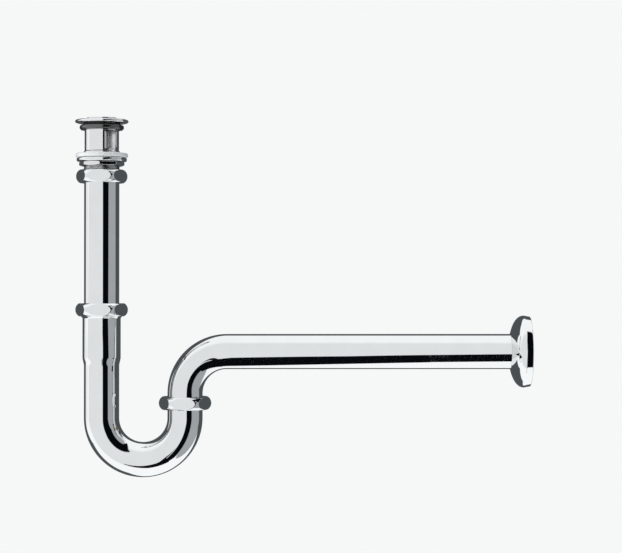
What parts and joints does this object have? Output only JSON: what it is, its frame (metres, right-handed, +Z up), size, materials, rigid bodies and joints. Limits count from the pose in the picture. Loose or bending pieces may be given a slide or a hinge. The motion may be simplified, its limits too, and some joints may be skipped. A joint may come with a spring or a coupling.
{
  "type": "p trap",
  "caption": "Chrome P trap for a washbasin: push-open drain with overflow windows, tailpiece, U bend, outlet pipe to the wall, slip-nut joints and a wall escutcheon.",
  "frame": {"origin": "on the axis of the drain, in the plane where the rim gasket rests on the basin", "axes": "+Z up along the drain, +X along the outlet pipe to the wall, -Y the front"},
  "size_m": [0.4151, 0.0656, 0.3284],
  "materials": {
    "chrome": "polished chrome plate on brass",
    "black_rubber": "matt moulded rubber",
    "white_rubber": "pale grey-white moulded rubber",
    "nylon": "natural moulded nylon",
    "brass": "bare turned brass",
    "spring_steel": "drawn stainless wire"
  },
  "bodies": {
    "drain": {"drain_body": "chrome", "rim_gasket": "black_rubber", "thread_adapter": "brass", "click_barrel": "chrome", "click_spring": "spring_steel", "spider_nut": "brass", "top_flat_gasket": "black_rubber"},
    "plug": {"plug_cap": "chrome", "plug_seal": "black_rubber", "plug_stem": "brass"},
    "rotor": {"click_rotor": "nylon"},
    "clamp": {"underside_gasket": "white_rubber", "clamp_washer": "chrome"},
    "lock_nut": {"lock_nut": "chrome"},
    "top_washer": {"top_friction_washer": "nylon"},
    "top_nut": {"top_slip_nut": "chrome"},
    "tailpiece": {"tailpiece": "chrome"},
    "seal": {"cone_gasket": "black_rubber"},
    "trap": {"trap_bend": "chrome", "lower_flat_gasket": "black_rubber", "outlet_thread_ring": "brass"},
    "middle_washer": {"middle_friction_washer": "nylon"},
    "middle_nut": {"middle_slip_nut": "chrome"},
    "lower_washer": {"lower_friction_washer": "nylon"},
    "lower_nut": {"lower_slip_nut": "chrome"},
    "outlet": {"outlet_bend": "chrome"},
    "escutcheon": {"escutcheon": "chrome"}
  },
  "joints": [
    {"name": "plug_lift", "type": "slide", "parent": "drain", "child": "plug", "axis": [0, 0, 1], "range_m": [-0.001, 0.0065], "deforming": ["click_spring"]},
    {"name": "rotor_click", "type": "hinge", "parent": "plug", "child": "rotor", "pos_m": [0, 0, -0.0068], "axis": [0, 0, 1], "range_deg": [-7, 45.1]},
    {"name": "clamp_travel", "type": "slide", "parent": "drain", "child": "clamp", "axis": [0, 0, 1], "range_m": [-0.003, 0.009]},
    {"name": "lock_nut_turn", "type": "hinge", "parent": "clamp", "child": "lock_nut", "pos_m": [0, 0, -0.0307], "axis": [0, 0, 1], "range_deg": [-720, 2160]},
    {"name": "top_washer_travel", "type": "slide", "parent": "drain", "child": "top_washer", "axis": [0, 0, 1], "range_m": [-0.0045, 0]},
    {"name": "top_nut_turn", "type": "hinge", "parent": "top_washer", "child": "top_nut", "pos_m": [0, 0, -0.0424], "axis": [0, 0, 1], "range_deg": [-1080, 0]},
    {"name": "tailpiece_turn", "type": "hinge", "parent": "drain", "child": "tailpiece", "pos_m": [0, 0, -0.05], "axis": [0, 0, 1], "range_deg": [-180, 180]},
    {"name": "trap_height", "type": "slide", "parent": "tailpiece", "child": "seal", "axis": [0, 0, 1], "range_m": [-0.025, 0.005]},
    {"name": "trap_turn", "type": "hinge", "parent": "seal", "child": "trap", "pos_m": [0, 0, -0.165], "axis": [0, 0, 1], "range_deg": [-180, 180]},
    {"name": "middle_washer_travel", "type": "slide", "parent": "trap", "child": "middle_washer", "axis": [0, 0, 1], "range_m": [0, 0.0045]},
    {"name": "middle_nut_turn", "type": "hinge", "parent": "middle_washer", "child": "middle_nut", "pos_m": [0, 0, -0.1641], "axis": [0, 0, 1], "range_deg": [0, 1080]},
    {"name": "lower_washer_travel", "type": "slide", "parent": "trap", "child": "lower_washer", "axis": [0, 0, 1], "range_m": [0, 0.0045]},
    {"name": "lower_nut_turn", "type": "hinge", "parent": "lower_washer", "child": "lower_nut", "pos_m": [0.0762, 0, -0.2491], "axis": [0, 0, 1], "range_deg": [0, 1080]},
    {"name": "outlet_turn", "type": "hinge", "parent": "trap", "child": "outlet", "pos_m": [0.0762, 0, -0.2473], "axis": [0, 0, 1], "range_deg": [-130, 130]},
    {"name": "escutcheon_slide", "type": "slide", "parent": "outlet", "child": "escutcheon", "axis": [1, 0, 0], "range_m": [-0.24, 0]}
  ],
  "couplings": [
    {"joint": "rotor_click", "follows": "plug_lift", "rad_per_m": 120.83},
    {"joint": "clamp_travel", "follows": "lock_nut_turn", "m_per_rad": 0.00023873},
    {"joint": "top_washer_travel", "follows": "top_nut_turn", "m_per_rad": 0.00023873},
    {"joint": "middle_washer_travel", "follows": "middle_nut_turn", "m_per_rad": 0.00023873},
    {"joint": "lower_washer_travel", "follows": "lower_nut_turn", "m_per_rad": 0.00023873}
  ]
}
